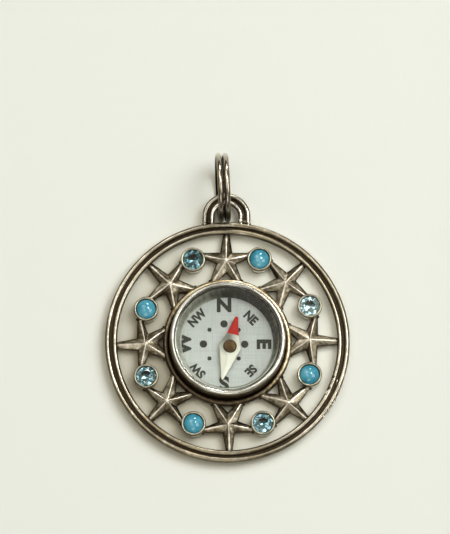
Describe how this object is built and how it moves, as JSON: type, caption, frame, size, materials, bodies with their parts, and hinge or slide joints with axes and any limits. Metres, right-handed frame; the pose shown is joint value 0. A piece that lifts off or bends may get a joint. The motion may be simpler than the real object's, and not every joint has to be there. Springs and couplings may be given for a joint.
{
  "type": "compass pendant",
  "caption": "Round silver compass pendant: grooved outer ring with bail loop and double jump ring, relief stars and bezel-set stones round a small compass with a turning needle.",
  "frame": {"origin": "centre of the compass case's flat back, on the surface that the pendant lies on", "axes": "+Z out of the face of the compass, +Y from the compass to the bail loop, +X to the right of the dial"},
  "size_m": [0.038, 0.0482, 0.0109],
  "materials": {
    "antique_silver": "cast and soldered silver, darkened in the hollows, polished on the high spots",
    "polished_rim": "polished",
    "dial_face": "finely brushed, with a dark printed compass rose",
    "pivot_steel": "turned",
    "needle_enamel": "ivory enamel with a red point",
    "cap_brass": "dark turned brass",
    "compass_glass": "clear flat glass",
    "turquoise": "polished cabochon",
    "topaz": "cut and polished, pale blue",
    "wire_silver": "drawn wire, darkened"
  },
  "bodies": {
    "pendant": {"frame": "antique_silver", "compass_case": "polished_rim", "dial": "dial_face", "pivot_pin": "pivot_steel", "glass": "compass_glass", "turquoise_1": "turquoise", "turquoise_2": "turquoise", "turquoise_3": "turquoise", "turquoise_4": "turquoise", "topaz_1": "topaz", "topaz_2": "topaz", "topaz_3": "topaz", "topaz_4": "topaz", "jump_ring_1": "wire_silver", "jump_ring_2": "wire_silver"},
    "needle": {"needle": "needle_enamel", "needle_cap": "cap_brass"}
  },
  "joints": [
    {"name": "needle_pivot", "type": "hinge", "parent": "pendant", "child": "needle", "pos_m": [0.00038, -0.00083, 0.00235], "axis": [0, 0, 1], "continuous": true}
  ]
}
